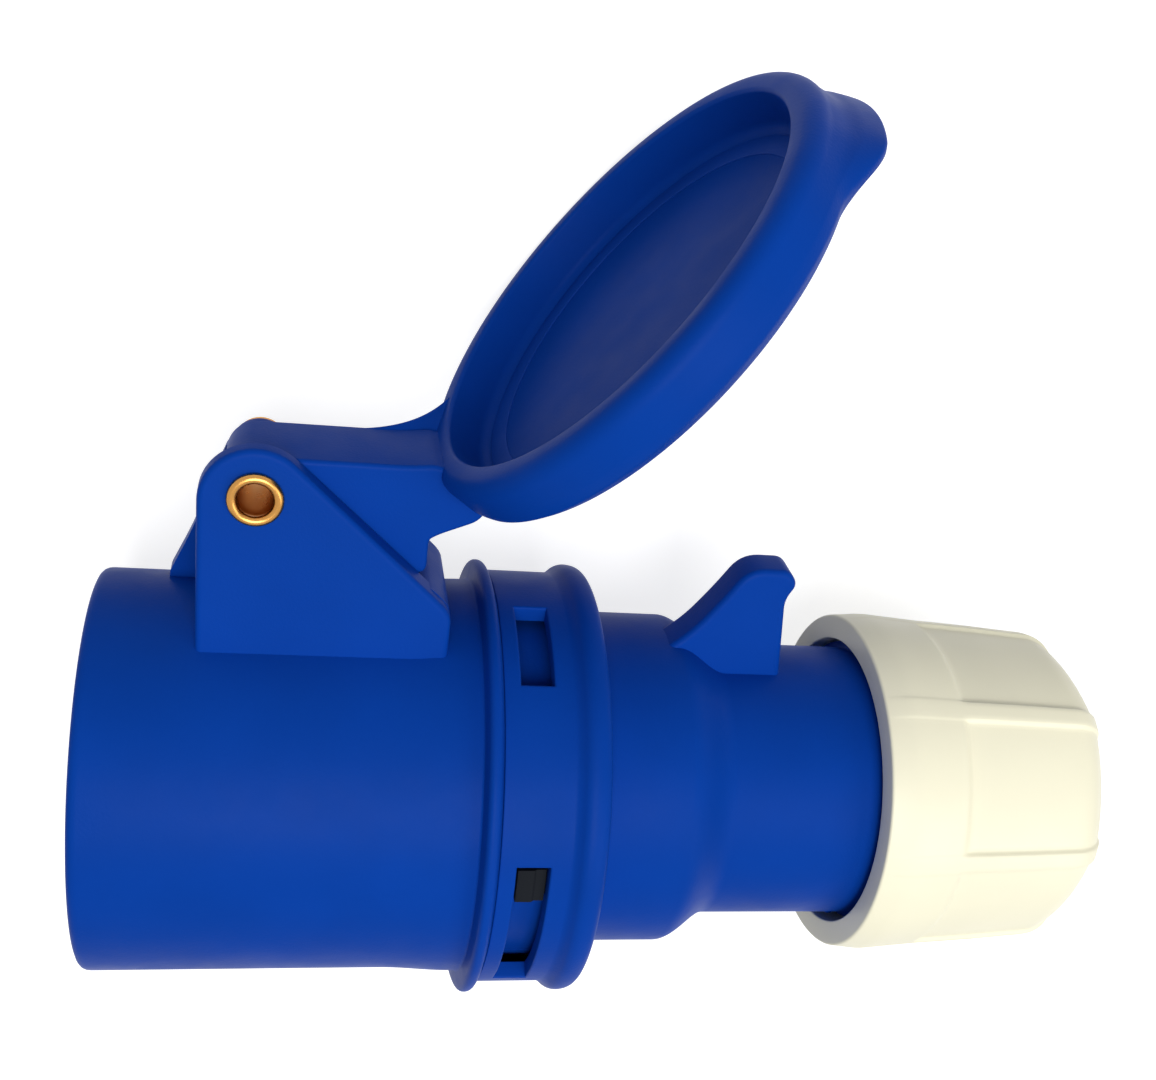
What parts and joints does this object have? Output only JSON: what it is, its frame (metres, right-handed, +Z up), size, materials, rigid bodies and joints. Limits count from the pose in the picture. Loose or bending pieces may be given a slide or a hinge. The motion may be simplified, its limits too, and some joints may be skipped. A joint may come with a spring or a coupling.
{
  "type": "industrial power connector",
  "caption": "Female pin-and-sleeve cable connector with a hinged round lid, a windowed band, a thumb fin and a screw-on cable gland nut.",
  "frame": {"origin": "centre of the bounding box, at its base", "axes": "+X from the open mouth to the cable end, +Y towards the hinge side, +Z up as it lies on its side with the hinge pin upright"},
  "size_m": [0.1404, 0.1296, 0.064],
  "materials": {
    "blue_plastic": "satin moulded",
    "cream_plastic": "satin moulded",
    "black_plastic": "matt moulded",
    "black_rubber": "matt",
    "blue_rubber": "soft satin",
    "brass": "turned",
    "steel": "plated"
  },
  "bodies": {
    "housing": {"front_housing": "blue_plastic", "rear_housing": "blue_plastic", "contact_carrier": "black_plastic", "terminal_cover": "black_plastic", "cover_screw": "steel", "housing_seal": "black_rubber", "hinge_pin": "brass", "earth_contact": "brass", "earth_contact_spring": "steel", "earth_terminal_screw": "steel", "line_contact": "brass", "line_contact_spring": "steel", "line_terminal_screw": "steel", "neutral_contact": "brass", "neutral_contact_spring": "steel", "neutral_terminal_screw": "steel"},
    "lid": {"lid": "blue_plastic", "lid_seal": "blue_rubber"},
    "slider": {"locking_slider": "black_plastic"},
    "clamp": {"thrust_washer": "steel", "clamp_cage": "cream_plastic", "gland_seal": "black_rubber"},
    "nut": {"gland_nut": "cream_plastic"}
  },
  "joints": [
    {"name": "lid_hinge", "type": "hinge", "parent": "housing", "child": "lid", "pos_m": [-0.04985, 0.01105, 0.032], "axis": [0, 0, 1], "range_deg": [0, 216.5]},
    {"name": "slider_travel", "type": "hinge", "parent": "housing", "child": "slider", "pos_m": [-0.01425, -0.03435, 0.032], "axis": [1, 0, 0], "range_deg": [0, 34]},
    {"name": "nut_travel", "type": "slide", "parent": "housing", "child": "clamp", "axis": [-1, 0, 0], "range_m": [0, 0.0045]},
    {"name": "nut_turn", "type": "hinge", "parent": "clamp", "child": "nut", "pos_m": [0.05175, -0.03435, 0.032], "axis": [-1, 0, 0], "range_deg": [0, 540]}
  ],
  "couplings": [
    {"joint": "nut_travel", "follows": "nut_turn", "m_per_rad": 0.00047746}
  ]
}
